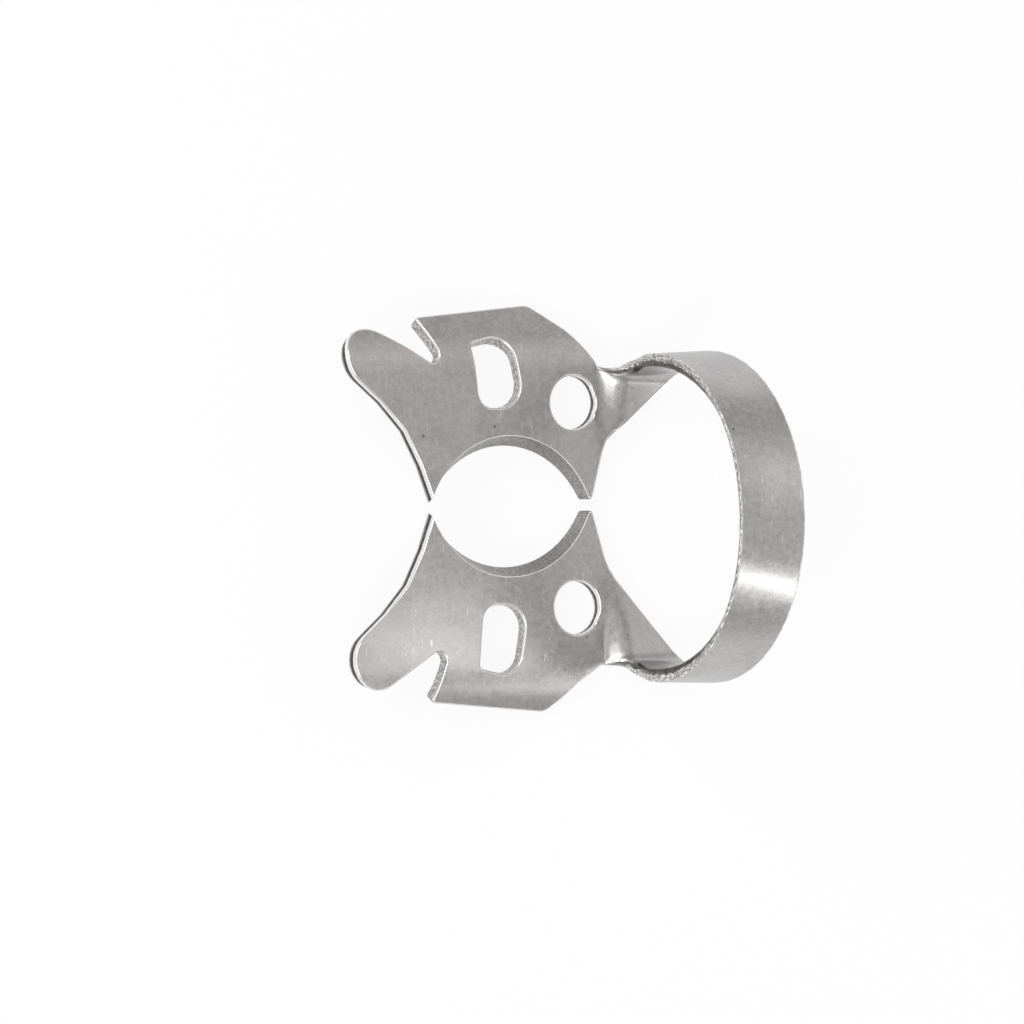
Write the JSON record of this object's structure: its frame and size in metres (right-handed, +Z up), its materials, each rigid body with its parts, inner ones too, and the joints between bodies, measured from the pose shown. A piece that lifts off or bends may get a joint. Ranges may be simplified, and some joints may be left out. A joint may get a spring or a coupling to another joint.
{
  "type": "rubber dam clamp",
  "caption": "Winged dental clamp of spring steel: flat jaws with prongs grip a tooth at its neck, and a half-round bow springs them together.",
  "frame": {"origin": "middle of the bounding box, on the surface that the clamp rests on", "axes": "+X from the jaws' round lobes towards the bow, +Y across the jaws, +Z up to the crest of the bow; the clamp lies as it comes to rest, on the edges of both wings and on one foot of the bow, so the jaws slope down towards the bow"},
  "size_m": [0.0224, 0.0214, 0.0132],
  "materials": {
    "spring_steel": "satin, tumbled"
  },
  "bodies": {
    "root": {"clamp": "spring_steel"}
  },
  "joints": []
}
